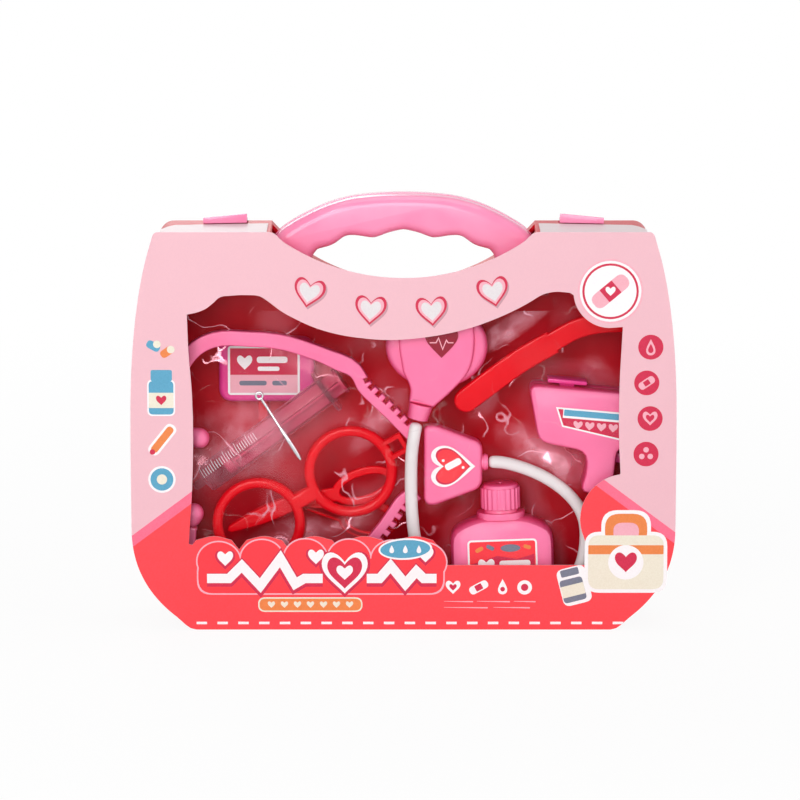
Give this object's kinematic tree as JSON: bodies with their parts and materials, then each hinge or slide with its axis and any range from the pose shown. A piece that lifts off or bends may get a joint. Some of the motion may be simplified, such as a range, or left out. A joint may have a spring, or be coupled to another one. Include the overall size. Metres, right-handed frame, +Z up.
{
  "type": "toy doctor case",
  "caption": "Flat play doctor case with carry handle, windowed card front and a formed tray of toy medical instruments behind a bottom-hinged lid.",
  "frame": {"origin": "middle of the case's base, at mid depth, on the surface it stands on", "axes": "+X to the right as seen from the front, +Y from the card front to the back, +Z up"},
  "size_m": [0.2956, 0.055, 0.2369],
  "materials": {
    "red_shell": "glossy moulded polypropylene",
    "red_toy": "glossy moulded polystyrene",
    "pink_toy": "satin moulded polypropylene",
    "pale_pink": "glossy moulded polypropylene",
    "printed_card": "coated printed board",
    "sticker": "printed paper sticker",
    "clear_sheet": "clear plastic sheet",
    "clear_tray": "clear vacuum formed sheet",
    "clear_toy": "clear moulded polystyrene",
    "white_tube": "soft extruded vinyl",
    "seal": "soft moulded",
    "dark_lens": "glossy",
    "plated": "plated",
    "steel": "zinc plated"
  },
  "bodies": {
    "case": {"rear_shell": "red_shell", "carry_handle": "pale_pink", "latch_pin_left": "steel", "latch_pin_right": "steel", "hinge_pin_left": "steel", "hinge_pin_right": "steel", "handle_screw_left": "steel", "handle_screw_right": "steel", "blister_tray": "clear_tray", "stethoscope_yoke": "pink_toy", "yoke_sticker": "sticker", "headset_arm_upper": "pink_toy", "headset_arm_lower": "pink_toy", "ear_tip_upper": "pink_toy", "ear_tip_lower": "pink_toy", "stethoscope_tube": "white_tube", "chest_piece": "pink_toy", "chest_collar": "pink_toy", "chest_emblem": "sticker", "chest_diaphragm": "white_tube", "glasses_frame": "red_toy", "scissors_half_upper": "red_toy", "scissors_rivet": "red_toy", "syringe_barrel": "clear_toy", "thermometer_shell_front": "pink_toy", "thermometer_shell_back": "pink_toy", "thermometer_lens": "dark_lens", "thermometer_sticker": "sticker", "bottle_body": "pink_toy", "bottle_label": "sticker", "spatula": "red_toy", "gauge_body": "pink_toy", "gauge_label": "sticker", "gauge_stem": "red_toy", "probe": "plated"},
    "lid": {"front_shell": "red_shell", "window_sheet": "clear_sheet", "front_card": "printed_card"},
    "left_latch": {"latch_left": "pale_pink"},
    "right_latch": {"latch_right": "pale_pink"},
    "scissors_lever": {"scissors_half_lower": "red_toy"},
    "plunger": {"syringe_plunger": "clear_toy", "syringe_seal": "seal"},
    "trigger": {"thermometer_trigger": "pink_toy"},
    "button": {"thermometer_button": "pink_toy"},
    "cap": {"bottle_cap": "pink_toy"}
  },
  "joints": [
    {"name": "lid_hinge", "type": "hinge", "parent": "case", "child": "lid", "pos_m": [0, 0.009, 0.0026], "axis": [1, 0, 0], "range_deg": [0, 100]},
    {"name": "latch_left_hinge", "type": "hinge", "parent": "case", "child": "left_latch", "pos_m": [-0.097, 0.018, 0.217], "axis": [-1, 0, 0], "range_deg": [0, 90]},
    {"name": "latch_right_hinge", "type": "hinge", "parent": "case", "child": "right_latch", "pos_m": [0.097, 0.018, 0.217], "axis": [-1, 0, 0], "range_deg": [0, 90]},
    {"name": "scissors_pivot", "type": "hinge", "parent": "case", "child": "scissors_lever", "pos_m": [-0.058, 0, 0.0672], "axis": [0, 1, 0], "range_deg": [0, 20]},
    {"name": "plunger_slide", "type": "slide", "parent": "case", "child": "plunger", "axis": [0.8021, 0, 0.5972], "range_m": [0, 0.045]},
    {"name": "trigger_slide", "type": "slide", "parent": "case", "child": "trigger", "axis": [-0.9962, 0, 0.0872], "range_m": [0, 0.003], "stiffness_N_per_m": 150, "springref_m": -0.001},
    {"name": "button_slide", "type": "slide", "parent": "case", "child": "button", "axis": [-0.0872, 0, -0.9962], "range_m": [0, 0.0012], "stiffness_N_per_m": 300, "springref_m": -0.0005},
    {"name": "cap_turn", "type": "hinge", "parent": "case", "child": "cap", "pos_m": [0.05305, -0.009, 0.06937], "axis": [-0.035, 0, 0.9994], "range_deg": [0, 270]}
  ]
}
